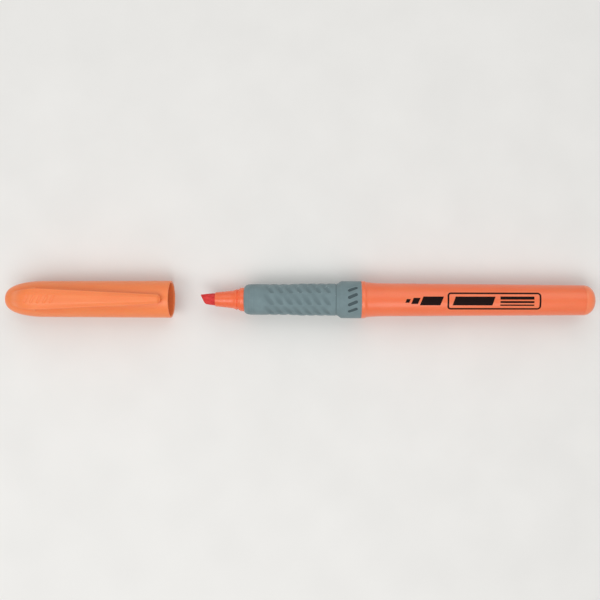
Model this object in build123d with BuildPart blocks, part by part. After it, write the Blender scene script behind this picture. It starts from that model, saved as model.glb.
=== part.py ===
from build123d import *
import os

# A capped highlighter, laid out on a table in one line along X: the cap that was pulled off it, a gap, and
# the pen, nib first. The chisel nib's long point is on the +Y side, and the clip stands up along +Z.
# All sizes are in millimetres.

# ---- Driving dimensions ------------------------------------------------------------------------------------

pen_length = 131.15          # from the nib's point to the tail
cap_length = 54.9
parting_gap = 9.65           # between the cap's mouth and the nib's point
collar_radius = 6.18         # the widest ring, on which the pen lies
collar_length = 6.66
grip_length = 38.73          # the rubber sleeve, with its collar
grip_front_radius = 5.12
grip_rear_radius = 5.33
barrel_front_radius = 5.52   # behind the flare
tail_radius = 5.0
nib_radius = 2.0
nib_length = 36.0
cap_mouth_radius = 6.15
cap_dome_radius = 5.98
cap_bore_radius = 5.45
clip_top = 8.2               # above the cap's axis
clip_thickness = 1.3
clip_gap = 0.8               # between the blade and the cap
reservoir_radius = 3.2
reservoir_length = 92.0

# ---- Clearances --------------------------------------------------------------------------------------------

press_play = 0.02            # radial, between pieces that are pressed into one another
sleeve_play = 0.05           # radial, round the reservoir
hinge_play = 0.03            # between the clip's blade and the stand-off that carries it

# ---- Stations along X, worked out from the lengths ---------------------------------------------------------

layout_length = cap_length + parting_gap + pen_length
cap_end_x = -layout_length / 2
mouth_x = cap_end_x + cap_length
nib_tip_x = mouth_x + parting_gap
tail_x = layout_length / 2

nib_reach = 5.05             # how far the nib stands out of the nozzle
nozzle_length = 9.73         # the part of the nozzle ahead of the grip
rim_x = nib_tip_x + nib_reach
grip_front_x = rim_x + nozzle_length
grip_end_x = grip_front_x + grip_length
collar_x = grip_end_x - collar_length
chamfer_length = 1.17
chamfer_x = collar_x - chamfer_length   # where the grip starts to widen to its collar
crease_x = chamfer_x - 0.5
shoulder_x = collar_x - 0.5
tail_dome_length = 4.0
seam_x = tail_x - tail_dome_length
spigot_length = 9.4          # of the nozzle, inside the neck
reservoir_x = grip_front_x + spigot_length
reservoir_end_x = reservoir_x + reservoir_length

axis_height = collar_radius
pen_axis = Axis((0, 0, axis_height), (1, 0, 0))
side_view = Plane(origin=(0, 0, axis_height), x_dir=(1, 0, 0), z_dir=(0, -1, 0))
top_view = Plane.XY.offset(axis_height)


def cross_section(x):
    """The plane across the pen at x, with its origin on the pen's axis, facing the tail."""
    return Plane(origin=(x, 0, axis_height), x_dir=(0, 1, 0), z_dir=(1, 0, 0))


# ---- Nib: a bonded-fibre rod, ground to a slanted chisel ---------------------------------------------------

chisel_long_side = 1.6       # the long point's distance from the axis
chisel_short_side = 1.5      # the heel's distance from the axis, on the other side
chisel_slant = 1.5           # how far the heel lies behind the point
chisel_length = 4.2
chisel_half_edge = 0.7       # half the writing edge's thickness
heel_radius = 0.7

with BuildPart() as nib:
    with BuildSketch(cross_section(nib_tip_x)):
        Circle(nib_radius)
    extrude(amount=nib_length)
    # the outline from above: the slanted writing edge and the two sides that widen to the rod
    with BuildSketch(top_view):
        with BuildLine():
            FilletPolyline(
                (nib_tip_x + chisel_length, nib_radius),
                (nib_tip_x, chisel_long_side),
                (nib_tip_x + chisel_slant, -chisel_short_side),
                (nib_tip_x + chisel_length, -nib_radius),
                radius=(0.12, heel_radius),
            )
            Polyline(
                (nib_tip_x + chisel_length, -nib_radius),
                (nib_tip_x + nib_length, -nib_radius),
                (nib_tip_x + nib_length, nib_radius),
                (nib_tip_x + chisel_length, nib_radius),
            )
        make_face()
    extrude(amount=nib_radius, both=True, mode=Mode.INTERSECT)
    # the outline from the side: two bevels that meet the writing edge
    with BuildSketch(side_view):
        Polygon(
            (nib_tip_x, chisel_half_edge),
            (nib_tip_x + chisel_length, nib_radius),
            (nib_tip_x + nib_length, nib_radius),
            (nib_tip_x + nib_length, -nib_radius),
            (nib_tip_x + chisel_length, -nib_radius),
            (nib_tip_x, -chisel_half_edge),
            align=None,
        )
    extrude(amount=nib_radius, both=True, mode=Mode.INTERSECT)
    chamfer(nib.edges().sort_by(Axis.X)[-1], length=0.4)

# ---- Nozzle: the front section, pressed into the barrel's neck ---------------------------------------------

rim_radius = 2.35
cone_radius = 2.95
bead_radius = 3.43
groove_radius = 3.25
flange_radius = 4.0
cone_length = 5.93
bead_length = 1.2
flange_length = 1.43
neck_bore_radius = 3.4
nib_grip_length = 5.0        # how far the nib's bore runs on inside the spigot
vent_width = 0.5
vent_depth = 0.15
vent_count = 3

cone_end_x = rim_x + cone_length
bead_x = cone_end_x + bead_length
flange_x = grip_front_x - flange_length
spigot_radius = neck_bore_radius - press_play

with BuildPart() as nozzle:
    with BuildSketch(side_view):
        with BuildLine():
            Polyline(
                (reservoir_x, 0),
                (rim_x, 0),
                (rim_x, rim_radius - 0.1),
                (rim_x + 0.1, rim_radius),
                (cone_end_x, cone_radius),
            )
            TangentArc((cone_end_x, cone_radius), (bead_x, bead_radius), tangent=(1, 0.1))
            Polyline(
                (bead_x, bead_radius),
                (bead_x + 0.3, groove_radius),
                (flange_x - 0.3, groove_radius),
                (flange_x, flange_radius - 0.15),
                (flange_x + 0.15, flange_radius),
                (grip_front_x, flange_radius),
                (grip_front_x, spigot_radius),
                (reservoir_x - 0.5, spigot_radius),
                (reservoir_x, spigot_radius - 0.3),
                (reservoir_x, 0),
            )
        make_face()
    revolve(axis=pen_axis)
    # the nib's bore, with air vents along it, and the wider chamber behind it
    with BuildSketch(cross_section(rim_x)):
        Circle(nib_radius + press_play)
        with PolarLocations(nib_radius, vent_count):
            Rectangle(2 * vent_depth, vent_width)
    extrude(amount=nozzle_length + spigot_length, mode=Mode.SUBTRACT)
    with BuildSketch(cross_section(grip_front_x + nib_grip_length)):
        Circle(spigot_radius - 0.7)
    extrude(amount=spigot_length - nib_grip_length, mode=Mode.SUBTRACT)

# ---- Barrel: a tapered tube with a neck for the grip -------------------------------------------------------

neck_radius = 4.1
shoulder_radius = 4.9
barrel_flange_radius = collar_radius - 0.01
barrel_flange_length = 1.17
flare_length = 4.17
barrel_bore_radius = 4.0
bore_step_length = 1.5
rib_width = 0.6
rib_count = 4
rib_start_x = grip_end_x + 3.0
rib_end_x = reservoir_end_x + 1.0

wrap_radius = reservoir_radius + 0.15
barrel_flange_end_x = grip_end_x + barrel_flange_length
flare_end_x = barrel_flange_end_x + flare_length

with BuildPart() as barrel:
    with BuildSketch(side_view):
        with BuildLine():
            Polyline(
                (seam_x, 0),
                (grip_front_x, 0),
                (grip_front_x, neck_radius - 0.2),
                (grip_front_x + 0.2, neck_radius),
                (shoulder_x, neck_radius),
                (shoulder_x, shoulder_radius),
                (grip_end_x, shoulder_radius),
                (grip_end_x, barrel_flange_radius),
                (barrel_flange_end_x, barrel_flange_radius),
            )
            Spline(
                (barrel_flange_end_x, barrel_flange_radius),
                (barrel_flange_end_x + 0.9, 0.4 * barrel_flange_radius + 0.6 * barrel_front_radius),
                (flare_end_x, barrel_front_radius),
                tangents=[(1, -0.6), (1, -0.02)],
            )
            Polyline((flare_end_x, barrel_front_radius), (seam_x, tail_radius), (seam_x, 0))
        make_face()
    revolve(axis=pen_axis)
    # the bore: narrow in the neck, wide behind it, and open at the tail
    with BuildSketch(side_view):
        Polygon(
            (grip_front_x, 0),
            (grip_front_x, neck_bore_radius),
            (grip_end_x, neck_bore_radius),
            (grip_end_x + bore_step_length, barrel_bore_radius),
            (seam_x, barrel_bore_radius),
            (seam_x, 0),
            align=None,
        )
    revolve(axis=pen_axis, mode=Mode.SUBTRACT)
    # ribs that hold the reservoir in the middle of the wide bore
    rib_height = barrel_bore_radius + 0.2 - wrap_radius - sleeve_play
    with BuildSketch(cross_section(rib_start_x)):
        with PolarLocations(wrap_radius + sleeve_play + rib_height / 2, rib_count, start_angle=45):
            Rectangle(rib_height, rib_width)
    extrude(amount=rib_end_x - rib_start_x)

# ---- End plug: the domed tail, pressed into the barrel's open end ------------------------------------------

plug_spigot_length = 8.5
plug_bore_radius = 3.1
plug_bore_end_x = seam_x + 1.3
plug_rib_width = 0.9
plug_spigot_x = seam_x - plug_spigot_length
plug_spigot_radius = barrel_bore_radius - press_play

with BuildPart() as end_plug:
    with BuildSketch(side_view):
        with BuildLine():
            Polyline(
                (tail_x, 0),
                (plug_spigot_x, 0),
                (plug_spigot_x, plug_spigot_radius - 0.4),
                (plug_spigot_x + 0.8, plug_spigot_radius),
                (seam_x, plug_spigot_radius),
                (seam_x, tail_radius),
            )
            EllipticalCenterArc((seam_x, 0), tail_dome_length, tail_radius, arc_size=90)
        make_face()
    revolve(axis=pen_axis)
    with BuildSketch(cross_section(plug_spigot_x)):
        Circle(plug_bore_radius)
    extrude(amount=plug_bore_end_x - plug_spigot_x, mode=Mode.SUBTRACT)
    # a cross inside the spigot, which stands on the reservoir's end and lets air past it
    with BuildSketch(cross_section(reservoir_end_x)):
        Rectangle(2 * plug_bore_radius, plug_rib_width)
        Rectangle(plug_rib_width, 2 * plug_bore_radius)
    extrude(amount=plug_spigot_x - reservoir_end_x + 0.5)
    with BuildSketch(cross_section(plug_spigot_x)):
        Rectangle(2 * plug_bore_radius + 0.4, plug_rib_width)
        Rectangle(plug_rib_width, 2 * plug_bore_radius + 0.4)
    extrude(amount=plug_bore_end_x - plug_spigot_x + 0.2)

# ---- Grip: one rubber sleeve over the neck, with its collar ------------------------------------------------

grip_swell_x = grip_front_x + 15.7   # where the sleeve widens a little to its rear
grip_swell_length = 2.0
front_round = 2.2            # length of the rounded front edge
front_face_radius = 4.2
crease_depth = 0.2
crease_width = 0.35

with BuildPart() as grip_sleeve:
    with BuildSketch(side_view):
        with BuildLine():
            Polyline((grip_front_x, neck_radius + press_play), (grip_front_x, front_face_radius))
            Spline(
                (grip_front_x, front_face_radius),
                (grip_front_x + 0.6, 0.5 * (front_face_radius + grip_front_radius)),
                (grip_front_x + front_round, grip_front_radius),
                tangents=[(0.8, 1), (1, 0.02)],
            )
            Polyline(
                (grip_front_x + front_round, grip_front_radius),
                (grip_swell_x, grip_front_radius),
                (grip_swell_x + grip_swell_length, grip_rear_radius),
                (crease_x - crease_width / 2, grip_rear_radius),
                (crease_x, grip_rear_radius - crease_depth),
                (crease_x + crease_width / 2, grip_rear_radius),
                (chamfer_x, grip_rear_radius),
                (collar_x, collar_radius),
                (grip_end_x, collar_radius),
                (grip_end_x, shoulder_radius + press_play),
                (shoulder_x, shoulder_radius + press_play),
                (shoulder_x, neck_radius + press_play),
                (grip_front_x, neck_radius + press_play),
            )
        make_face()
    revolve(axis=pen_axis)

# ---- Ink reservoir: a fibre core in a film tube ------------------------------------------------------------

core_stand_out = 0.5         # how far the core stands out of its wrap at each end
nib_tail_x = nib_tip_x + nib_length

with BuildPart() as ink_reservoir:
    with BuildSketch(cross_section(reservoir_x)):
        Circle(reservoir_radius - press_play)
    extrude(amount=reservoir_length)
    # the hole that the nib's tail makes for itself
    with BuildSketch(cross_section(reservoir_x)):
        Circle(nib_radius + press_play)
    extrude(amount=nib_tail_x - reservoir_x, mode=Mode.SUBTRACT)

with BuildPart() as reservoir_wrap:
    with BuildSketch(cross_section(reservoir_x + core_stand_out)):
        Circle(wrap_radius)
        Circle(reservoir_radius, mode=Mode.SUBTRACT)
    extrude(amount=reservoir_length - 2 * core_stand_out)

# ---- Cap: a domed tube, with the stand-off of its clip -----------------------------------------------------

dome_x = cap_end_x + 12.0    # where the dome meets the tube
cavity_end_x = cap_end_x + 1.0
cavity_dome_radius = 5.0
liner_seat_x = cap_end_x + 19.2
liner_step = 0.25
liner_ring_length = 1.6
root_x = cap_end_x + 3.9     # where the clip rises out of the dome
blade_x = cap_end_x + 12.2   # where the blade leaves the stand-off
clip_tip_x = mouth_x - 2.1
root_height = cap_dome_radius - 1.4
root_half_width = 2.2
blade_half_width = 3.5
tip_half_width = 1.6
crown_radius = 9.0           # the clip's top is crowned across its width
tip_bump = 0.45
bump_x = clip_tip_x - 2.6
blade_bottom = cap_dome_radius + clip_gap


def clip_form():
    """The whole clip as one closed form, from inside the dome's wall to its tip."""
    blade_top = blade_bottom + clip_thickness
    tip_arc_x = clip_tip_x - tip_half_width
    with BuildPart(mode=Mode.PRIVATE) as form:
        with BuildSketch(side_view):
            with BuildLine():
                Spline(
                    (root_x, root_height),
                    (root_x + 3.4, clip_top - 1.0),
                    (blade_x, clip_top),
                    tangents=[(1, 1.2), (1, 0)],
                )
                Polyline(
                    (blade_x, clip_top),
                    (clip_tip_x - 1.0, blade_top),
                    (clip_tip_x, blade_top - 0.5),
                    (clip_tip_x, blade_bottom + 0.2),
                    (bump_x + 1.0, blade_bottom),
                    (bump_x + 0.4, blade_bottom - tip_bump),
                    (bump_x - 0.4, blade_bottom - tip_bump),
                    (bump_x - 1.6, blade_bottom),
                    (blade_x, blade_bottom),
                    (blade_x, 0),
                    (root_x, 0),
                    (root_x, root_height),
                )
            make_face()
        extrude(amount=blade_half_width, both=True)
        # the outline from above: widest where the blade starts, with a round tip
        with BuildSketch(top_view):
            with BuildLine():
                for side in (1, -1):
                    Spline(
                        (root_x, side * root_half_width),
                        (blade_x, side * blade_half_width),
                        (tip_arc_x, side * tip_half_width),
                        tangents=[(1, side * 0.4), (1, side * -0.06)],
                    )
                Line((root_x, root_half_width), (root_x, -root_half_width))
                ThreePointArc((tip_arc_x, -tip_half_width), (clip_tip_x, 0), (tip_arc_x, tip_half_width))
            make_face()
        extrude(amount=clip_top, mode=Mode.INTERSECT)
        # the crown
        with BuildSketch(cross_section(root_x)):
            with Locations((0, clip_top - crown_radius)):
                Circle(crown_radius)
        extrude(amount=clip_tip_x - root_x, mode=Mode.INTERSECT)
    return form.part


whole_clip = clip_form()

with BuildPart() as cap_shell:
    with BuildSketch(side_view):
        with BuildLine():
            Spline(
                (cap_end_x, 0),
                (cap_end_x + 1.3, 3.5),
                (cap_end_x + 4.2, 4.92),
                (dome_x, cap_dome_radius),
                tangents=[(0, 1), (1, 0.01)],
            )
            Polyline(
                (dome_x, cap_dome_radius),
                (mouth_x - 0.1, cap_mouth_radius),
                (mouth_x, cap_mouth_radius - 0.1),
                (mouth_x, 0),
                (cap_end_x, 0),
            )
        make_face()
    revolve(axis=pen_axis)
    # the stand-off: what of the clip lies behind the blade
    add(split(whole_clip, bisect_by=Plane.YZ.offset(blade_x), keep=Keep.BOTTOM, mode=Mode.PRIVATE))
    # the cavity, with a step that the liner is pushed against
    with BuildSketch(side_view):
        with BuildLine():
            Spline(
                (cavity_end_x, 0),
                (cavity_end_x + 1.6, 2.9),
                (cavity_end_x + 4.6, 4.25),
                (dome_x, cavity_dome_radius),
                tangents=[(0, 1), (1, 0.06)],
            )
            Polyline(
                (dome_x, cavity_dome_radius),
                (liner_seat_x, cap_bore_radius - liner_step),
                (liner_seat_x, cap_bore_radius),
                (mouth_x - 0.2, cap_bore_radius),
                (mouth_x, cap_bore_radius + 0.2),
                (mouth_x, 0),
                (cavity_end_x, 0),
            )
        make_face()
    revolve(axis=pen_axis, mode=Mode.SUBTRACT)

# ---- Clip blade: the free spring of the clip, hinged on the stand-off's top edge --------------------------

with BuildPart() as cap_clip:
    add(split(whole_clip, bisect_by=Plane.YZ.offset(blade_x + hinge_play), keep=Keep.TOP, mode=Mode.PRIVATE))

# ---- Cap liner: the cup that seals round the nozzle's bead when the cap is on ------------------------------

cap_travel = chamfer_x + 0.35 - mouth_x   # until the mouth meets the collar's chamfer
liner_end_x = nib_tip_x - cap_travel - 2.7   # leaves the nib's point room inside the cup
liner_floor = 0.8
liner_mouth_x = grip_front_x - flange_length - cap_travel - 0.15
liner_radius = 4.25
liner_inner_radius = 3.6
seal_radius = bead_radius + 0.04
seal_x = bead_x - cap_travel

with BuildPart() as cap_liner:
    with BuildSketch(side_view):
        Polygon(
            (liner_end_x, 0),
            (liner_end_x, liner_radius - 0.3),
            (liner_end_x + 0.3, liner_radius),
            (liner_seat_x, liner_radius),
            (liner_seat_x, cap_bore_radius - press_play),
            (liner_seat_x + liner_ring_length, cap_bore_radius - press_play),
            (liner_seat_x + liner_ring_length, liner_radius),
            (liner_mouth_x, liner_radius - 0.2),
            (liner_mouth_x, liner_inner_radius),
            (seal_x + 0.5, liner_inner_radius),
            (seal_x + 0.2, seal_radius),
            (seal_x - 0.2, seal_radius),
            (seal_x - 0.8, liner_inner_radius),
            (liner_end_x + 2.4, liner_inner_radius - 0.2),
            (liner_end_x + liner_floor, 2.4),
            (liner_end_x + liner_floor, 0),
            align=None,
        )
    revolve(axis=pen_axis)

# ---- Output ------------------------------------------------------------------------------------------------

pieces = {
    "nib": nib,
    "nozzle": nozzle,
    "barrel": barrel,
    "end_plug": end_plug,
    "grip_sleeve": grip_sleeve,
    "ink_reservoir": ink_reservoir,
    "reservoir_wrap": reservoir_wrap,
    "cap_shell": cap_shell,
    "cap_clip": cap_clip,
    "cap_liner": cap_liner,
}

os.makedirs("parts", exist_ok=True)
for name, piece in pieces.items():
    piece.part.label = name
    export_step(piece.part, f"parts/{name}.step")
print(f"cap travel {cap_travel:.3f}, hinge at ({blade_x:.3f}, {axis_height + clip_top:.3f})")
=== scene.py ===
import math

import bmesh
import bpy
import numpy as np
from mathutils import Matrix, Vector


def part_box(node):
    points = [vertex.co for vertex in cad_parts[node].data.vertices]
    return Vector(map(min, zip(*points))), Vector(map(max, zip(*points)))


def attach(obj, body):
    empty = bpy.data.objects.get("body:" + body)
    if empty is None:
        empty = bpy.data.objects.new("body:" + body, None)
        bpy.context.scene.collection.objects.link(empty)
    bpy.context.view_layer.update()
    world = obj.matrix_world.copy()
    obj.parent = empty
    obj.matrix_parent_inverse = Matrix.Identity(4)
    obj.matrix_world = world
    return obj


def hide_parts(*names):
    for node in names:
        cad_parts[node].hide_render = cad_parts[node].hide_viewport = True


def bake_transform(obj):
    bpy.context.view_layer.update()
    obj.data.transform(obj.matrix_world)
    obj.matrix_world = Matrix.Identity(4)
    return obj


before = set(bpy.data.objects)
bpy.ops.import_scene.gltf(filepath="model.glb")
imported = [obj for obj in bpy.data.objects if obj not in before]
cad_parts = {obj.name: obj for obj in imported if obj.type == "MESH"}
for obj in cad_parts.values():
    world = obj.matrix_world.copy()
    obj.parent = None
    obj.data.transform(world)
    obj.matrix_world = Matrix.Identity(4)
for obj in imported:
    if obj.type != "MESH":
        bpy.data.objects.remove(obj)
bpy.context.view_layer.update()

MM = 0.001

# ---- Places and sizes from the frame, in millimetres -------------------------------------------------------


def span(node):
    """The first and last X of a CAD node."""
    low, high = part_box(node)
    return low.x / MM, high.x / MM


def radius(node):
    """Half the width of a CAD node."""
    low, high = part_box(node)
    return (high.y - low.y) / 2 / MM


collar_radius = radius("grip_sleeve")
grip_x, grip_end_x = span("grip_sleeve")
axis_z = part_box("grip_sleeve")[0].z / MM + collar_radius
nib_x, nib_end_x = span("nib")
rim_x, nozzle_end_x = span("nozzle")
seam_x = span("barrel")[1]
plug_x, tail_x = span("end_plug")
cap_x, mouth_x = span("cap_shell")
blade_x, clip_tip_x = span("cap_clip")
clip_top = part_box("cap_shell")[1].z / MM - axis_z      # above the axis
cap_mouth_radius = radius("cap_shell")
nib_radius = radius("nib")

collar_length = 6.66
chamfer_length = 1.17          # where the grip widens to its collar
flange_length = 1.17           # the barrel's, behind the collar
flare_length = 4.17
collar_x = grip_end_x - collar_length
chamfer_x = collar_x - chamfer_length
crease_x = chamfer_x - 0.5
shoulder_x = collar_x - 0.5    # the barrel's shoulder, inside the collar
flange_end_x = grip_end_x + flange_length
flare_end_x = flange_end_x + flare_length
barrel_front_radius = 5.52     # behind the flare
tail_radius = 5.0
neck_radius = 4.1              # the barrel's, under the grip
neck_bore_radius = 3.4
barrel_bore_radius = 4.0

cap_radius = 5.98              # where the dome meets the tube
cap_bore_radius = 5.45
dome_x = cap_x + 12.0
liner_seat_x = cap_x + 19.2
clip_root_x = cap_x + 3.0      # where the clip rises out of the dome
press_play = 0.02              # radial, between pieces that are pressed into one another
box_inset = 0.02               # keeps the nib's point and the clip's crest inside the CAD's box

# ---- Camera: straight above, with the pen across the frame -------------------------------------------------

camera_x = 0.007
camera_y = -0.00013
camera_distance = 0.245
camera_roll = math.radians(0.14)
frame_width = 0.2
frame_middle_x = -0.000125
camera = bpy.data.objects.new("camera", bpy.data.cameras.new("camera"))
bpy.context.scene.collection.objects.link(camera)
camera.location = (camera_x, camera_y, camera_distance + axis_z * MM)
camera.rotation_euler.z = camera_roll
camera.data.lens = camera.data.sensor_width * camera_distance / frame_width
camera.data.shift_x = (frame_middle_x - camera_x) / frame_width
camera.data.clip_start = 0.01
camera.data.clip_end = 10
bpy.context.scene.camera = camera

# ---- Mesh building -----------------------------------------------------------------------------------------


def smoothstep(start, end, value):
    """0 before the start, 1 past the end, and a smooth rise between them."""
    t = np.clip((value - start) / (end - start), 0, 1)
    return t * t * (3 - 2 * t)


def around(x, r, angle):
    """Points in metres at x, at distance r from the pen's axis, at an angle from straight up towards +Y."""
    x, r, angle = np.broadcast_arrays(x, r, angle)
    return np.stack([x, r * np.sin(angle), axis_z + r * np.cos(angle)], axis=-1) * MM


def mesh_object(name, parts, material, masks=None):
    """One smooth object from a list of (points, quads): doubled points merged, ends closed, faces outwards.
    The masks are named numbers for each point, which its material reads."""
    points, quads, first = [], [], 0
    for part_points, part_quads in parts:
        points.append(part_points.reshape(-1, 3))
        quads.append(part_quads.reshape(-1, 4) + first)
        first += len(points[-1])
    mesh = bpy.data.meshes.new(name)
    mesh.from_pydata(np.concatenate(points).tolist(), [], np.concatenate(quads).tolist())
    for mask, values in (masks or {}).items():
        layer = mesh.attributes.new(mask, "FLOAT", "POINT")
        layer.data.foreach_set("value", np.ravel(values).astype(np.float32))
    edit = bmesh.new()
    edit.from_mesh(mesh)
    bmesh.ops.remove_doubles(edit, verts=edit.verts, dist=1e-8)
    bmesh.ops.holes_fill(edit, edges=edit.edges, sides=0)
    bmesh.ops.recalc_face_normals(edit, faces=edit.faces)
    edit.to_mesh(mesh)
    edit.free()
    mesh.shade_smooth()
    mesh.set_sharp_from_angle(angle=math.radians(38))
    mesh.materials.append(material)
    made = bpy.data.objects.new(name, mesh)
    bpy.context.scene.collection.objects.link(made)
    return made


def loft(loops, cyclic=False):
    """The points and quads of a skin over closed loops, an array of loops by points by 3."""
    rows, columns = loops.shape[:2]
    index = np.arange(rows * columns).reshape(rows, columns)
    beside = np.roll(index, -1, axis=1)
    quads = np.stack([index, beside, np.roll(beside, -1, axis=0), np.roll(index, -1, axis=0)], axis=-1)
    return loops, quads if cyclic else quads[:-1]


def rounded(corners, steps=6):
    """Points along a line through (x, r, setback), whose corners are rounded from that setback on."""
    points = []
    for k, (x, r, setback) in enumerate(corners):
        here = np.array((x, r), float)
        if setback == 0 or k in (0, len(corners) - 1):
            points.append(here)
            continue
        before = np.array(corners[k - 1][:2]) - here
        after = np.array(corners[k + 1][:2]) - here
        long_before, long_after = np.linalg.norm(before), np.linalg.norm(after)
        reach = min(setback, 0.48 * long_before, 0.48 * long_after)
        start, end = here + before / long_before * reach, here + after / long_after * reach
        for t in np.linspace(0, 1, steps + 1):
            points.append((1 - t) ** 2 * start + 2 * t * (1 - t) * here + t * t * end)
    return np.array(points)


def divided(points, spacing):
    """The same line with points no further apart than the spacing."""
    out = [points[:1]]
    for a, b in zip(points[:-1], points[1:]):
        count = max(1, math.ceil(np.linalg.norm(b - a) / spacing))
        out.append(a + (b - a) * np.linspace(0, 1, count + 1)[1:, None])
    return np.concatenate(out)


def column_angles(columns):
    """The angles round the axis of a turned skin's columns."""
    return np.linspace(-math.pi, math.pi, columns, endpoint=False)[None, :]


def turned(outline, columns, relief=0, cyclic=True):
    """A skin turned about the pen's axis from an outline of (x, r), with a relief added to its radius.
    The outline closes on itself if cyclic, and otherwise runs from the axis back to the axis."""
    x, r = outline[:, :1], outline[:, 1:]
    return loft(around(x, np.maximum(r + relief, 0), column_angles(columns)), cyclic)


def stroke(along, across, length, half_width, soft):
    """1 inside a round-ended stroke centred on 0, 0 outside it, with a soft edge."""
    beyond = np.maximum(np.abs(along) - length / 2, 0)
    return 1 - smoothstep(half_width - soft, half_width + soft, np.hypot(beyond, across))


def turned_by(x, y, angle):
    """Coordinates turned by an angle."""
    return x * math.cos(angle) + y * math.sin(angle), y * math.cos(angle) - x * math.sin(angle)


# ---- Materials ---------------------------------------------------------------------------------------------


def srgb(red, green, blue):
    """A colour for a shader, from its 0 to 255 display values."""
    return [((c / 255 + 0.055) / 1.055) ** 2.4 for c in (red, green, blue)] + [1.0]


def node(tree, kind, inputs, **settings):
    """A shader node with its settings, and its inputs given as values or as other nodes' outputs."""
    made = tree.nodes.new("ShaderNode" + kind)
    for key, value in settings.items():
        setattr(made, key, value)
    for key, value in inputs.items():
        if isinstance(value, bpy.types.NodeSocket):
            tree.links.new(value, made.inputs[key])
        else:
            made.inputs[key].default_value = value
    return made


def noise(tree, stretch, scale, detail=3.0, roughness=0.5):
    """Noise fixed to the object, with grains 1 / scale of a millimetre across, stretched along X, Y and Z."""
    place = node(tree, "TexCoord", {}).outputs["Object"]
    grid = node(tree, "Mapping", {"Vector": place, "Scale": [scale / MM / s for s in stretch]})
    inputs = {"Vector": grid.outputs["Vector"], "Scale": 1.0, "Detail": detail, "Roughness": roughness}
    return node(tree, "TexNoise", inputs).outputs["Fac"]


def ranged(tree, value, low, high, start=0.3, end=0.7):
    """A value's middle stretch mapped to low..high."""
    inputs = {"Value": value, "From Min": start, "From Max": end, "To Min": low, "To Max": high}
    return node(tree, "MapRange", inputs).outputs["Result"]


def mixed(tree, factor, first, second):
    """The first colour where the factor is 0, and the second where it is 1."""
    mix = node(tree, "Mix", {"Factor": factor, "A": first, "B": second}, data_type="RGBA")
    return mix.outputs["Result"]


def bumped(tree, height, depth, normal=None):
    """A bump of that depth in millimetres, on top of another normal if one is given."""
    inputs = {"Height": height, "Distance": depth * MM, "Strength": 1.0}
    if normal:
        inputs["Normal"] = normal
    return node(tree, "Bump", inputs).outputs["Normal"]


def shader(name, colour, rough, normal, **values):
    """A material whose colour, roughness and normal are functions of its node tree."""
    made = bpy.data.materials.new(name)
    made.use_nodes = True
    tree = made.node_tree
    principled = tree.nodes["Principled BSDF"]
    tree.links.new(colour(tree), principled.inputs["Base Color"])
    tree.links.new(rough(tree), principled.inputs["Roughness"])
    tree.links.new(normal(tree), principled.inputs["Normal"])
    for key, value in values.items():
        principled.inputs[key.replace("_", " ").title().replace("Ior", "IOR")].default_value = value
    return made


def moulded_plastic(name, pale, deep, rough, peel, coat=0.0):
    """Injection-moulded plastic: slow changes of shade along the flow, and an orange peel of that depth."""

    def colour(tree):
        flow = noise(tree, (9, 2.5, 2.5), 1.0, 2)
        fine = noise(tree, (1, 1, 1), 3.0, 4)
        shade = node(tree, "Math", {0: flow, 1: fine}, operation="ADD").outputs[0]
        return mixed(tree, ranged(tree, shade, 0, 1, 0.7, 1.3), deep, pale)

    def roughness(tree):
        return ranged(tree, noise(tree, (2, 1, 1), 0.4, 3), rough - 0.02, rough + 0.03)

    def normal(tree):
        skin = bumped(tree, noise(tree, (1.5, 1, 1), 0.7, 2), peel)
        return bumped(tree, noise(tree, (1, 1, 1), 9.0, 3), peel / 5, skin)

    return shader(
        name, colour, roughness, normal, ior=1.49, coat_weight=coat, coat_roughness=0.12,
        subsurface_weight=0.25, subsurface_radius=(1.0, 0.4, 0.2), subsurface_scale=0.0008,
    )


def rubber():
    """Matt rubber with a fine grain, pale edges (wear, painted highlight) and painted shade in hollows and
    marks.
    """

    def colour(tree):
        patches = ranged(tree, noise(tree, (3, 3, 3), 1.0, 4), 0, 1)
        blotch = mixed(tree, patches, srgb(107, 126, 130), srgb(117, 137, 141))
        # Paler on sharp edges: partly rubbed wear, partly a painted highlight on the texture's edges.
        rubbed_and_highlit = node(tree, "NewGeometry", {}).outputs["Pointiness"]
        edges = mixed(tree, ranged(tree, rubbed_and_highlit, 0, 1, 0.51, 0.64), blotch, srgb(148, 165, 168))
        # Painted shade: the scoops are darkened by their depth.
        hollow_shade = node(tree, "Attribute", {}, attribute_name="hollow_shade").outputs["Fac"]
        hollows_shaded = mixed(tree, ranged(tree, hollow_shade, 0, 1, 0.0, 1.0), edges, srgb(98, 116, 120))
        # Painted shade: the collar's cut marks are darkened by their depth.
        mark_shade = node(tree, "Attribute", {}, attribute_name="mark_shade").outputs["Fac"]
        return mixed(tree, ranged(tree, mark_shade, 0, 1, 0.3, 0.8), hollows_shaded, srgb(68, 84, 88))

    def roughness(tree):
        return ranged(tree, noise(tree, (2, 2, 2), 1.0, 5), 0.62, 0.80)

    def normal(tree):
        grain = bumped(tree, noise(tree, (1, 1, 1), 7.0, 3, 0.6), 0.012)
        return bumped(tree, noise(tree, (1, 1, 1), 1.4, 2), 0.006, grain)

    return shader(
        "rubber", colour, roughness, normal, ior=1.5, specular_ior_level=0.35,
        sheen_weight=0.18, sheen_roughness=0.5,
    )


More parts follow.
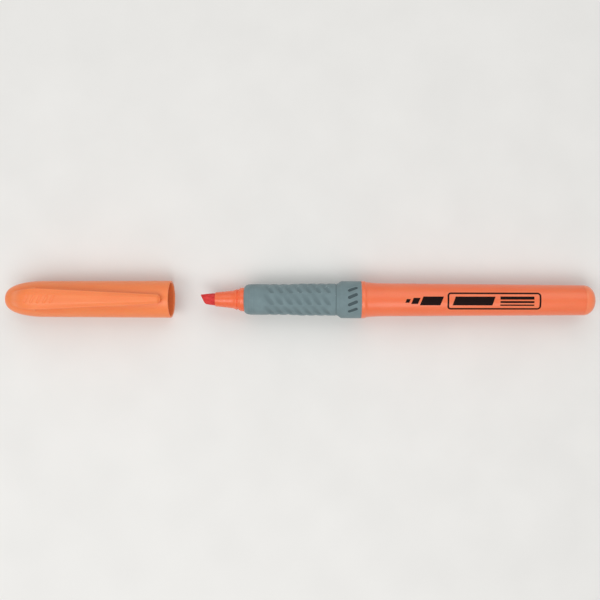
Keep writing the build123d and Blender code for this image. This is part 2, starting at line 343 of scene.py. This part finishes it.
def felt(name, pale, deep, grain):
    """Bonded fibre: matt strands along the rod, soaked unevenly with ink."""

    def colour(tree):
        soak = noise(tree, (2, 1, 1), 1.2, 3)
        strand = noise(tree, (10, 1, 1), 9.0, 3, 0.7)
        both = node(tree, "Math", {0: soak, 1: strand}, operation="ADD").outputs[0]
        return mixed(tree, ranged(tree, both, 0, 1, 0.75, 1.25), deep, pale)

    def roughness(tree):
        return ranged(tree, noise(tree, (4, 1, 1), 4.0, 3), 0.75, 0.95)

    def normal(tree):
        strands = bumped(tree, noise(tree, (10, 1, 1), 10.0, 4, 0.7), grain)
        return bumped(tree, noise(tree, (3, 1, 1), 3.0, 3), grain, strands)

    return shader(name, colour, roughness, normal, ior=1.4, specular_ior_level=0.25, sheen_weight=0.3)


def printed_ink():
    """Pad-printed ink: nearly black brown, slightly thin in places."""

    def colour(tree):
        thin = noise(tree, (1, 1, 1), 5.0, 4, 0.6)
        return mixed(tree, ranged(tree, thin, 0, 1, 0.45, 0.8), srgb(18, 3, 1), srgb(44, 12, 7))

    def roughness(tree):
        return ranged(tree, noise(tree, (1, 1, 1), 4.0, 3), 0.55, 0.7)

    def normal(tree):
        return bumped(tree, noise(tree, (1, 1, 1), 8.0, 3), 0.003)

    return shader("printed_ink", colour, roughness, normal, ior=1.5, specular_ior_level=0.12)


thin_coat = 0.1
cap_plastic = moulded_plastic("cap_plastic", srgb(244, 136, 76), srgb(240, 128, 70), 0.38, 0.004)
barrel_plastic = moulded_plastic(
    "barrel_plastic", srgb(243, 122, 76), srgb(239, 115, 71), 0.32, 0.003, thin_coat
)
tail_plastic = moulded_plastic(
    "tail_plastic", srgb(249, 137, 91), srgb(245, 130, 85), 0.34, 0.003, thin_coat
)
nozzle_plastic = moulded_plastic(
    "nozzle_plastic", srgb(243, 114, 66), srgb(237, 103, 60), 0.26, 0.002, thin_coat
)
liner_plastic = moulded_plastic("liner_plastic", srgb(240, 238, 228), srgb(228, 225, 212), 0.4, 0.004)
film_plastic = moulded_plastic("film_plastic", srgb(236, 236, 232), srgb(224, 224, 220), 0.25, 0.002)
grip_rubber = rubber()
nib_felt = felt("nib_felt", srgb(230, 70, 66), srgb(190, 40, 41), 0.02)
core_felt = felt("core_felt", srgb(246, 120, 84), srgb(226, 84, 60), 0.03)
ink = printed_ink()

# ---- Cap: the domed tube -----------------------------------------------------------------------------------


def blunt_dome(t):
    """A dome's radius as a share of its base's, at a share of its length from its pole."""
    return np.power(1 - (1 - t) ** 1.8, 0.32)


def cap_surface(x):
    """The cap's outer radius: a blunt dome, then a tube that widens slightly to its mouth."""
    dome = cap_radius * blunt_dome(np.clip((x - cap_x) / (dome_x - cap_x), 0, 1))
    return dome + (cap_mouth_radius - cap_radius) * np.clip((x - dome_x) / (mouth_x - dome_x), 0, 1)


def dome_points(first_x, length, end_radius, steps):
    """Points (x, r) along a blunt dome, from its pole, where they are closest together."""
    t = np.linspace(0, 1, steps) ** 2.4
    return np.stack([first_x + length * t, end_radius * blunt_dome(t)], axis=1)


def build_cap():
    """The cap as it is moulded, but for its clip: a dome, a tube, and a step inside that stops the liner."""
    wall, cavity_radius, cavity_dome_length = 1.0, 5.0, 11.5
    step = 0.25
    outside = dome_points(cap_x, dome_x - cap_x, cap_radius, 72)
    mouth = rounded([
        (dome_x, cap_radius, 0),
        (mouth_x, cap_mouth_radius, 0.2),
        (mouth_x, cap_bore_radius + step, 0.06),
        (mouth_x - step, cap_bore_radius, 0.1),
        (liner_seat_x, cap_bore_radius, 0),
        (liner_seat_x, cap_bore_radius - step, 0),
        (dome_x, cavity_radius, 0),
    ])
    inside = dome_points(cap_x + wall, cavity_dome_length, cavity_radius, 48)[::-1]
    outline = np.concatenate([outside, divided(mouth, 0.5)[1:], inside[1:]])
    cap = mesh_object("cap_moulding", [turned(outline, 192, cyclic=False)], cap_plastic)
    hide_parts("cap_shell")
    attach(cap, "cap")


# ---- Clip: one moulding with the cap, from its root on the dome to its free tip ----------------------------


def clip_half_width(x):
    """Half the clip's width: it swells from the root to the blade and tapers to a round tip."""
    root_half, blade_half, tip_half = 2.0, 3.5, 1.6
    tip_arc_x = clip_tip_x - tip_half
    to_root = np.clip((blade_x - x) / (blade_x - clip_root_x), 0, 1)
    to_tip = np.clip((x - blade_x) / (tip_arc_x - blade_x), 0, 1)
    swell = blade_half - (blade_half - root_half) * to_root**1.6
    taper = blade_half - (blade_half - tip_half) * to_tip
    round_tip = np.sqrt(tip_half**2 - np.clip(x - tip_arc_x, 0, tip_half) ** 2)
    return np.where(x < blade_x, swell, np.where(x > tip_arc_x, np.minimum(taper, round_tip), taper))


def clip_crest(x):
    """Height of the clip's middle line above the axis: one curve out of the dome, then level, then a lip."""
    root_crest, root_slope = 3.6, 1.45
    length = blade_x - clip_root_x
    t = np.clip((x - clip_root_x) / length, 0, 1)
    leave = (root_crest * (1 + 2 * t) + root_slope * length * t) * (1 - t) ** 2
    arrive = (clip_top - box_inset) * smoothstep(0, 1, t)
    before = root_slope * np.clip(clip_root_x - x, 0, None)
    fall = 0.22 * smoothstep(blade_x, clip_tip_x - 3, x)
    lip = 0.2 * smoothstep(clip_tip_x - 3.4, clip_tip_x - 1.6, x)
    drop = 0.5 * smoothstep(clip_tip_x - 1.1, clip_tip_x + 0.1, x)
    return leave + arrive - before - fall + lip - drop


def clip_bevel(side):
    """How far the clip's top falls away beside its flat middle, at a side of 0 to 1 across half its width."""
    fall, flat = 0.75, 0.38
    return fall * np.clip((side - flat) / (1 - flat), 0, 1) ** 1.35


def clip_underside(x):
    """Height of the blade's underside, with the bump that holds the pocket's edge."""
    gap, bump, bump_x, bump_length = 0.8, 0.45, clip_tip_x - 2.6, 0.8
    return cap_radius + gap - bump * np.exp(-(((x - bump_x) / bump_length) ** 2))


def dome_height(x, y, depth=0.0):
    """Height of the cap's skin, or of a surface at a depth in its wall."""
    return np.sqrt(np.clip((cap_surface(x) - depth) ** 2 - y * y, 0.04, None))


def clip_edge(width):
    """Radius of the rounding along the clip's edges."""
    return np.minimum(0.35, 0.7 * width)


def clip_top_height(x, y, width):
    """Height of the clip's top, with its bevels and its rounded edges, out to its full width."""
    edge = clip_edge(width)
    over = np.clip((y - width + edge) / np.maximum(edge, 0.001), 0, 1)
    bevel = clip_bevel(np.minimum(y, width - edge) / np.maximum(width, 0.01))
    return clip_crest(x) - bevel - edge * (1 - np.sqrt(1 - over**2))


def root_height(x, y, width):
    """Height of the clip's root and the fillet at its foot, which runs out a hair under the dome's skin."""
    fillet, draft, tuck = 1.0, 14.0, 0.02
    dome = dome_height(x, y)
    slab = clip_top_height(x, y, width) - draft * np.clip(y - width, 0, None)
    share = np.clip(0.5 + 0.5 * (slab - dome) / fillet, 0, 1)
    return dome + (slab - dome) * share + fillet * share * (1 - share) - tuck * (share == 0)


def clip_marks(x, y):
    """A row of five slanted bars cut into the clip near its root, 0 to 1."""
    first_x, pitch, slant = blade_x - 2.7, 2.1, math.radians(62)
    marks = 0
    for k in range(5):
        along, across = turned_by(x - first_x - pitch * k, y, slant)
        marks = marks + stroke(along, across, 2.4, 0.34, 0.09)
    return marks


def clip_half_section(x):
    """Half a section, from the middle of the clip's top to the middle of its underside: y, z and the number
    of points on top. Up to the blade, the underside is sunk in the dome's wall. Behind, it stands free."""
    top, turn = np.linspace(0, 1, 40), np.linspace(0, math.pi / 2, 12)[1:]
    wall, under = np.linspace(0, 1, 20)[1:], np.linspace(1, 0, 20)[1:]
    reach, sunk = 0.4, 0.45
    width = clip_half_width(x)
    edge = clip_edge(width)
    upper_y = np.concatenate([(width - edge) * top, width - edge * (1 - np.sin(turn))], axis=1)
    root_y = np.concatenate([upper_y, width + reach * wall, (width + reach) * under], axis=1)
    root_z = np.concatenate([
        root_height(x, root_y[:, : -len(under)], width),
        dome_height(x, root_y[:, -len(under):], sunk),
    ], axis=1)
    upper_z = clip_top_height(x, upper_y, width)
    side_z = upper_z[:, -1:]
    blade_y = np.concatenate([upper_y, width + 0 * wall, width * under], axis=1)
    blade_z = np.concatenate([
        upper_z,
        side_z + (clip_underside(x) - side_z) * wall,
        clip_underside(x) + 0 * under,
    ], axis=1)
    free = smoothstep(blade_x - 0.9, blade_x - 0.1, x)
    return root_y + (blade_y - root_y) * free, root_z + (blade_z - root_z) * free, len(top)


def build_clip():
    """The clip's skin over cross-sections, which are close together at its root, its marks and its tip."""
    start_x, marks_end_x, tip_arc, mark_cut = cap_x + 2.2, blade_x + 7.5, 1.8, 0.18
    stations = np.concatenate([
        np.arange(start_x, marks_end_x, 0.09),
        np.arange(marks_end_x, clip_tip_x - tip_arc, 0.3),
        clip_tip_x - tip_arc + tip_arc * np.sin(np.linspace(0, math.pi / 2, 28)),
    ])[:, None]
    half_y, half_z, top_count = clip_half_section(stations)
    y = np.concatenate([half_y, -half_y[:, -2:0:-1]], axis=1)
    z = np.concatenate([half_z, half_z[:, -2:0:-1]], axis=1)
    on_top = np.zeros(y.shape[1])
    on_top[:top_count] = 1
    on_top[-top_count + 1:] = 1
    z = z - mark_cut * clip_marks(stations, y) * on_top
    points = np.stack([stations + 0 * y, y, axis_z + z], axis=-1) * MM
    clip = mesh_object("clip_moulding", [loft(points)], cap_plastic)
    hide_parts("cap_clip")
    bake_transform(clip)


# ---- Nib ---------------------------------------------------------------------------------------------------


def squared(wave, power):
    """A sine or cosine to a power, with its own sign: a circle's become those of a rounded slab."""
    return np.sign(wave) * np.abs(wave) ** power


def nib_depths():
    """Distances of the nib's sections from its point, close together along the ground part."""
    length = nib_end_x - nib_x
    return np.concatenate([
        np.linspace(0, 0.25, 8),
        np.arange(0.32, 6, 0.08),
        np.arange(6.2, length, 0.6),
        [length],
    ])[:, None]


def nib_fuzz(depth, columns):
    """Loose fibre ends on the open part of the nib, as factors on its radius that vary a little."""
    strand, fleck, open_length = 0.012, 0.007, 5
    rng = np.random.default_rng(7)
    strands = rng.normal(0, strand, (1, columns)) + rng.normal(0, fleck, (len(depth), columns))
    return 1 + strands * np.clip(1 - (depth - open_length) / 2, 0, 1)


def build_nib():
    """A fibre rod ground to a slanted chisel: sections that turn from a slanted slab into a circle."""
    ground_length = 4.2
    edge_half_width, edge_half_height = 1.58, 0.68
    slant_width, slant_rise, slant_length = 3.1, 1.5, 7
    heel_rise, heel_length = 0.35, 2
    columns = 160
    depth = nib_depths()
    turn = np.linspace(0, 2 * math.pi, columns, endpoint=False)[None, :]
    whole = smoothstep(0, ground_length, depth) * 0.35 + np.clip(depth / ground_length, 0, 1) * 0.65
    power = 2 / (2 + 5 * (1 - whole))
    half_width = edge_half_width + (nib_radius - edge_half_width) * whole
    half_height = edge_half_height + (nib_radius - edge_half_height) * whole
    soft_edge = 1 - 0.16 * np.clip(1 - depth / 0.22, 0, 1) ** 2
    y = half_width * soft_edge * squared(np.cos(turn), power)
    z = half_height * soft_edge * squared(np.sin(turn), power)
    slant = slant_rise * np.clip(1 - depth / slant_length, 0, 1) * (slant_width / 2 - y) / slant_width
    heel = heel_rise * np.clip(-y / 1.6, 0, 1) ** 4 * np.clip(1 - depth / heel_length, 0, 1)
    x = nib_x + box_inset + depth + slant + heel
    fuzz = nib_fuzz(depth, columns)
    points = np.stack([x, y * fuzz, axis_z + z * fuzz], axis=-1) * MM
    nib = mesh_object("nib_chisel", [loft(points)], nib_felt)
    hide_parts("nib")
    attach(nib, "pen")


# ---- Nozzle ------------------------------------------------------------------------------------------------


def nozzle_outline():
    """The nozzle's outline: rim, cone, bead, groove and flange, then its spigot and its stepped bore."""
    cone_end_x = rim_x + 5.93
    bead_x = cone_end_x + 1.2
    flange_x = grip_x - 1.43
    bore_end_x = grip_x + 5.0
    bore_radius, spigot_radius = nib_radius + press_play, neck_bore_radius - press_play
    spigot_bore_radius, bead_radius, groove_radius = 2.68, 3.43, 3.22
    inside_rim = (rim_x + 2.0, bore_radius, 0)
    return divided(rounded([
        inside_rim,
        (rim_x, bore_radius, 0.08),
        (rim_x, 2.35, 0.1),
        (cone_end_x, 2.95, 1.2),
        (bead_x - 0.1, bead_radius, 0.3),
        (bead_x + 0.1, bead_radius, 0.1),
        (bead_x + 0.25, groove_radius, 0.08),
        (bead_x + 0.45, groove_radius, 0.08),
        (bead_x + 0.6, 3.5, 0.1),
        (flange_x - 0.1, 3.62, 0.3),
        (flange_x, 3.85, 0.12),
        (grip_x, 4.02, 0.1),
        (grip_x, spigot_radius, 0),
        (nozzle_end_x, spigot_radius, 0.4),
        (nozzle_end_x, spigot_bore_radius, 0),
        (bore_end_x, spigot_bore_radius, 0),
        (bore_end_x, bore_radius, 0),
        inside_rim,
    ]), 0.3)


def vents(r, angle):
    """Depth of the three air vents along the nib's bore."""
    third = 2 * math.pi / 3
    vent_depth, vent_half_width = 0.15, 0.25
    off = np.abs(np.mod(angle + third / 2, third) - third / 2) * r
    open_there = 1 - smoothstep(vent_half_width - 0.05, vent_half_width + 0.05, off)
    return vent_depth * open_there * (r < nib_radius + 2 * press_play)


def build_nozzle():
    columns = 192
    outline = nozzle_outline()
    relief = vents(outline[:, 1:], column_angles(columns))
    nozzle = mesh_object("front_section", [turned(outline, columns, relief)], nozzle_plastic)
    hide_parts("nozzle")
    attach(nozzle, "pen")


# ---- Grip: the rubber sleeve and its collar ----------------------------------------------------------------

scoop_depth = 0.25
mark_depth = 0.26


def scoops(x, angle):
    """Rows of slanted scoops round the grip, which deepen to one end, 0 to 1."""
    row_count, scoop_count, pitch, lean = 8, 7, 3.1, 1.28
    first_x = grip_x + 8.35
    row = 2 * math.pi / row_count
    # from -1 to 1 across the row that the angle lies in
    v = (angle - np.round(angle / row) * row) / (row / 2)
    beyond = x - first_x + lean * v
    nearest = np.clip(np.round(beyond / pitch), 0, scoop_count - 1)
    off = np.abs(beyond - nearest * pitch)
    half_width = 1.12 * (1 - (0.96 * v) ** 2) ** 0.4 + 0.02
    bowl = np.clip(1 - (off / half_width) ** 2, 0, 1) ** 0.9
    deepening = 0.35 + 0.65 * smoothstep(0.9, -0.5, v)
    return bowl * deepening * smoothstep(-0.99, -0.80, v) * smoothstep(0.99, 0.75, v)


def collar_marks(x, angle):
    """Two rows of four slanted bars cut into the collar, on its top and underside, 0 to 1."""
    middle_x = (collar_x + grip_end_x) / 2 + 0.4
    pitch, slant = 2.5, math.radians(24)
    marks = 0
    for side in (0, math.pi):
        arc = (np.mod(angle - side + math.pi, 2 * math.pi) - math.pi) * collar_radius
        for place in (-1.5, -0.5, 0.5, 1.5):
            along, across = turned_by(x - middle_x, arc - place * pitch, slant)
            marks = marks + stroke(along, across, 2.4, 0.52, 0.07)
    return marks


def grip_cuts(x, r, angle):
    """The scoops, rings and crease, and the collar's marks, as two depths in the rubber's outside."""
    first_ring_x, ring_pitch, ring_depth, crease_depth = grip_x + 1.7, 0.85, 0.05, 0.22
    outside = r > neck_radius + 0.6
    rings = sum(np.exp(-(((x - first_ring_x - ring_pitch * k) / 0.13) ** 2)) for k in range(3))
    crease = np.exp(-(((x - crease_x) / 0.16) ** 2))
    texture = scoop_depth * scoops(x, angle) + ring_depth * rings + crease_depth * crease
    return texture * outside, mark_depth * collar_marks(x, angle) * outside


def grip_outline():
    """The sleeve's outline: a round front edge, a slight swell and the collar, then its stepped bore."""
    bore_radius, shoulder_bore_radius = neck_radius + press_play, 4.92
    front_radius, rear_radius = 5.12, 5.33
    swell_x, swell_length = grip_x + 15.7, 2.0
    outside = rounded([
        (grip_x, bore_radius, 0),
        (grip_x, 4.2, 0.1),
        (grip_x + 0.45, 4.72, 0.3),
        (grip_x + 1.3, 5.02, 0.5),
        (grip_x + 2.4, front_radius, 0.6),
        (swell_x, front_radius, 0.8),
        (swell_x + swell_length, rear_radius, 0.8),
        (chamfer_x, rear_radius, 0.3),
        (collar_x, collar_radius, 0.35),
        (grip_end_x, collar_radius, 0.12),
        (grip_end_x, shoulder_bore_radius, 0),
    ])
    inside = [(shoulder_x, shoulder_bore_radius), (shoulder_x, bore_radius)]
    return np.concatenate([divided(outside, 0.11), inside])


def build_grip():
    columns = 384
    outline = grip_outline()
    texture, marks = grip_cuts(outline[:, :1], outline[:, 1:], column_angles(columns))
    skin = turned(outline, columns, -texture - marks)
    # The depths of the scoops and of the collar's marks, which the rubber reads to paint shade into them.
    masks = {"hollow_shade": texture / scoop_depth, "mark_shade": marks / mark_depth}
    grip = mesh_object("grip_rubber", [skin], grip_rubber, masks)
    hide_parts("grip_sleeve")
    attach(grip, "pen")


# ---- Barrel, its print, and the tail plug ------------------------------------------------------------------


def barrel_surface(x):
    """The barrel's outer radius behind the flare."""
    share = (x - flare_end_x) / (seam_x - flare_end_x)
    return barrel_front_radius + (tail_radius - barrel_front_radius) * share


def build_barrel():
    """One tube: the neck under the grip, the flange behind the collar, the flare and the long taper."""
    flange_radius = collar_radius - 0.01
    shoulder_radius = 4.9
    inside_neck = (grip_x + 3.0, neck_bore_radius, 0)
    outline = rounded([
        inside_neck,
        (grip_x, neck_bore_radius, 0),
        (grip_x, neck_radius, 0.2),
        (shoulder_x, neck_radius, 0),
        (shoulder_x, shoulder_radius, 0),
        (grip_end_x, shoulder_radius, 0),
        (grip_end_x, flange_radius, 0.12),
        (flange_end_x, flange_radius, 0.3),
        (flange_end_x + 0.5, barrel_front_radius + 0.34, 0.4),
        (flange_end_x + 1.5, barrel_front_radius + 0.24, 0.8),
        (flare_end_x, barrel_front_radius, 1.6),
        (seam_x, tail_radius, 0.1),
        (seam_x, barrel_bore_radius, 0),
        (grip_end_x + 1.5, barrel_bore_radius, 0),
        (grip_end_x, neck_bore_radius, 0),
        inside_neck,
    ])
    barrel = mesh_object("barrel_tube", [turned(divided(outline, 0.8), 192)], barrel_plastic)
    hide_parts("barrel")
    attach(barrel, "pen")


def build_plug():
    """The tail: a dome a little squarer than an ellipse, with a hollow spigot in the barrel's bore."""
    spigot_radius, bore_radius = barrel_bore_radius - press_play, 3.1
    spigot_x, bore_end_x, dome_base_x = plug_x + 3.0, seam_x + 1.3, seam_x + 0.02
    roundness = 2 / 2.3     # 1 for an ellipse, and less for a squarer dome
    turn = np.linspace(0, math.radians(87), 48)
    dome = np.stack([
        seam_x + (tail_x - seam_x) * np.cos(turn) ** roundness,
        tail_radius * np.sin(turn) ** roundness,
    ], axis=1)
    rest = rounded([
        (*dome[-1], 0),
        (dome_base_x, tail_radius - 0.02, 0.1),
        (dome_base_x, spigot_radius, 0),
        (spigot_x + 0.8, spigot_radius, 0.5),
        (spigot_x, spigot_radius - 0.4, 0.2),
        (spigot_x, bore_radius, 0),
        (bore_end_x, bore_radius, 0),
        (bore_end_x, 0, 0),
    ])
    outline = np.concatenate([dome, divided(rest, 0.6)[1:]])
    plug = mesh_object("tail_plug", [turned(outline, 160, cyclic=False)], tail_plastic)
    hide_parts("end_plug")
    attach(plug, "pen")


def print_patch(path, half_width, cyclic=False):
    """A thin raised band of print along a path of (x, arc) points on the barrel."""
    path = np.array(path, float)
    ahead, behind = np.roll(path, -1, axis=0), np.roll(path, 1, axis=0)
    if not cyclic:
        ahead[-1], behind[0] = path[-1], path[0]
    run = ahead - behind
    run = run / np.linalg.norm(run, axis=1)[:, None]
    across = np.stack([-run[:, 1], run[:, 0]], axis=1)
    steps, thickness, sunk = 9, 0.022, 0.03
    offsets = half_width * np.linspace(-1, 1, steps)
    offsets = np.concatenate([offsets, offsets[::-1]])
    lift = np.repeat([thickness, -sunk], steps)
    spots = path[:, None] + across[:, None] * offsets[:, None]
    x, arc = spots[..., 0], spots[..., 1]
    r = barrel_surface(x)
    return loft(around(x, r + lift, arc / r), cyclic)


def bar(x0, x1, arc, half_width, lean=0.0):
    """A straight printed bar along the pen, with its ends slanted by a lean."""
    path = [(x, arc) for x in np.linspace(x0, x1, max(6, int((x1 - x0) / 0.4)))]
    points, quads = print_patch(path, half_width)
    points[..., 0] += lean * points[..., 1]
    return points, quads


def rounded_frame(x0, x1, arc0, arc1, corner, half_line):
    """A printed outline with round corners."""
    left, right, low, high = x0 + corner, x1 - corner, arc0 + corner, arc1 - corner
    path = []
    for x, arc, start in ((right, high, 0), (left, high, 90), (left, low, 180), (right, low, 270)):
        for turn in np.radians(np.linspace(start, start + 90, 9)):
            path.append((x + corner * math.cos(turn), arc + corner * math.sin(turn)))
    path = divided(np.array(path + path[:1]), 0.5)[:-1]
    return print_patch(path, half_line, cyclic=True)


def build_print():
    """Generic print: three slanted bars that grow, and a panel with a broad bar and three straight lines."""
    middle, lean, panel_lean = -0.35, 0.4, 0.35
    start_x = flare_end_x + 9.2
    panel_x, panel_end_x = flare_end_x + 22.9, flare_end_x + 53.0
    lines_x, lines_end_x = panel_x + 17.0, panel_end_x - 2.0
    parts = [
        bar(start_x, start_x + 1.3, middle, 0.6, lean),
        bar(start_x + 2.1, start_x + 4.3, middle, 1.0, lean),
        bar(start_x + 5.1, start_x + 11.8, middle, 1.45, lean),
        rounded_frame(panel_x, panel_end_x, middle - 2.7, middle + 2.6, 0.9, 0.28),
        bar(panel_x + 2.0, panel_x + 15.0, middle, 1.45, panel_lean),
        bar(lines_x, lines_end_x, middle + 1.0, 0.5),
        bar(lines_x, lines_end_x, middle - 0.3, 0.32),
        bar(lines_x, lines_end_x, middle - 1.35, 0.23),
    ]
    made = mesh_object("barrel_print", parts, ink)
    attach(made, "pen")


# ---- Cap liner ---------------------------------------------------------------------------------------------


def build_liner():
    """A cup with a ring that seats in the cap, and a lip inside its mouth that seals on the nozzle's bead."""
    liner_x, liner_mouth_x = span("cap_liner")
    seal_x, floor_x, ring_end_x = liner_mouth_x - 1.02, liner_x + 0.8, liner_seat_x + 1.6
    cup_radius, ring_radius, mouth_radius, seal_radius = 4.25, 5.43, 3.6, 3.46
    outline = rounded([
        (liner_x, 0, 0),
        (liner_x, cup_radius, 0.4),
        (liner_seat_x, cup_radius, 0.1),
        (liner_seat_x, ring_radius, 0.08),
        (ring_end_x, ring_radius, 0.25),
        (ring_end_x, cup_radius, 0.2),
        (liner_mouth_x, cup_radius - 0.2, 0.25),
        (liner_mouth_x, mouth_radius, 0.2),
        (seal_x + 0.5, mouth_radius, 0.15),
        (seal_x, seal_radius, 0.15),
        (seal_x - 0.7, mouth_radius, 0.2),
        (liner_x + 2.4, 3.4, 0.8),
        (floor_x, 2.4, 0.5),
        (floor_x, 0, 0),
    ])
    liner = mesh_object("liner_cup", [turned(divided(outline, 0.5), 128, cyclic=False)], liner_plastic)
    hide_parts("cap_liner")
    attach(liner, "cap")


build_cap()
build_clip()
build_nib()
build_nozzle()
build_grip()
build_barrel()
build_plug()
build_print()
build_liner()

# The reservoir and its wrap are wholly hidden, so they keep their CAD shapes and only take a material.
for hidden_node, finish in (("ink_reservoir", core_felt), ("reservoir_wrap", film_plastic)):
    cad_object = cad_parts[hidden_node]
    cad_object.data.materials.clear()
    cad_object.data.materials.append(finish)

# ---- Floor and light ---------------------------------------------------------------------------------------


def build_floor():
    """A plain pale table top at Z = 0, very slightly uneven in shade and sheen."""

    def colour(tree):
        cloud = ranged(tree, noise(tree, (1, 1, 1), 0.05, 3), 0, 1)
        return mixed(tree, cloud, srgb(226, 225, 222), srgb(230, 229, 226))

    def roughness(tree):
        return ranged(tree, noise(tree, (1, 1, 1), 0.2, 3), 0.6, 0.7)

    def normal(tree):
        return bumped(tree, noise(tree, (1, 1, 1), 1.0, 2), 0.002)

    half = 1.5
    corners = np.array([[(-half, -half, 0), (half, -half, 0)], [(-half, half, 0), (half, half, 0)]])
    quads = np.array([[0, 1, 3, 2]])
    floor = mesh_object("floor", [(corners, quads)], shader("floor", colour, roughness, normal))


def area_light(name, place, width, depth, power):
    """A soft light at a place, wide along the pen and aimed at the origin, under the pen's middle."""
    lamp = bpy.data.lights.new(name, "AREA")
    lamp.shape = "RECTANGLE"
    lamp.size = width
    lamp.size_y = depth
    lamp.energy = power
    made = bpy.data.objects.new(name, lamp)
    bpy.context.scene.collection.objects.link(made)
    made.location = place
    made.rotation_euler = (-Vector(place)).to_track_quat("-Z", "Y").to_euler()


def white_surround(strength):
    """Even white light from all round."""
    world = bpy.data.worlds.new("studio")
    world.use_nodes = True
    background = world.node_tree.nodes["Background"]
    background.inputs["Color"].default_value = (1, 1, 1, 1)
    background.inputs["Strength"].default_value = strength
    bpy.context.scene.world = world


build_floor()
area_light("key", (-0.14, -0.26, 0.53), width=0.8, depth=0.3, power=2.05)
area_light("fill", (0.1, 0.4, 0.5), width=0.9, depth=0.5, power=1.3)
white_surround(0.5)
bpy.context.scene.view_settings.view_transform = "Standard"
